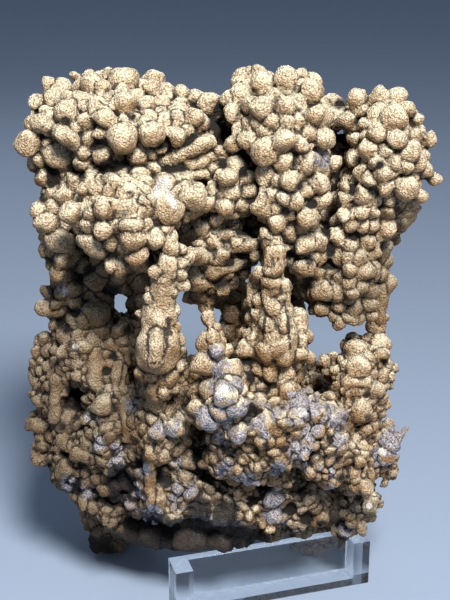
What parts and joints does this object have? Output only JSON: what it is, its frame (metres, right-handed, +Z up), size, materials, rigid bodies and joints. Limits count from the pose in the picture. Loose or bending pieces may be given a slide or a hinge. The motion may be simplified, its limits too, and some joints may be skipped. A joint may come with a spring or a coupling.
{
  "type": "romanechite specimen",
  "caption": "Botryoidal romanechite mineral specimen, a knobbly base with columns and a grape-like crown, shown upright on a low clear acrylic display stand.",
  "frame": {"origin": "on the surface the object stands on, under the middle of its bounding box", "axes": "+Z up, -Y towards the front that the picture shows, +X to the right seen from the front"},
  "size_m": [0.1048, 0.066, 0.1417],
  "materials": {
    "romanechite": "dusty, granular, dull",
    "acrylic": "clear, polished"
  },
  "bodies": {
    "root": {"romanechite": "romanechite", "stand_base": "acrylic", "stand_back": "acrylic", "stand_end_left": "acrylic", "stand_end_right": "acrylic"}
  },
  "joints": []
}
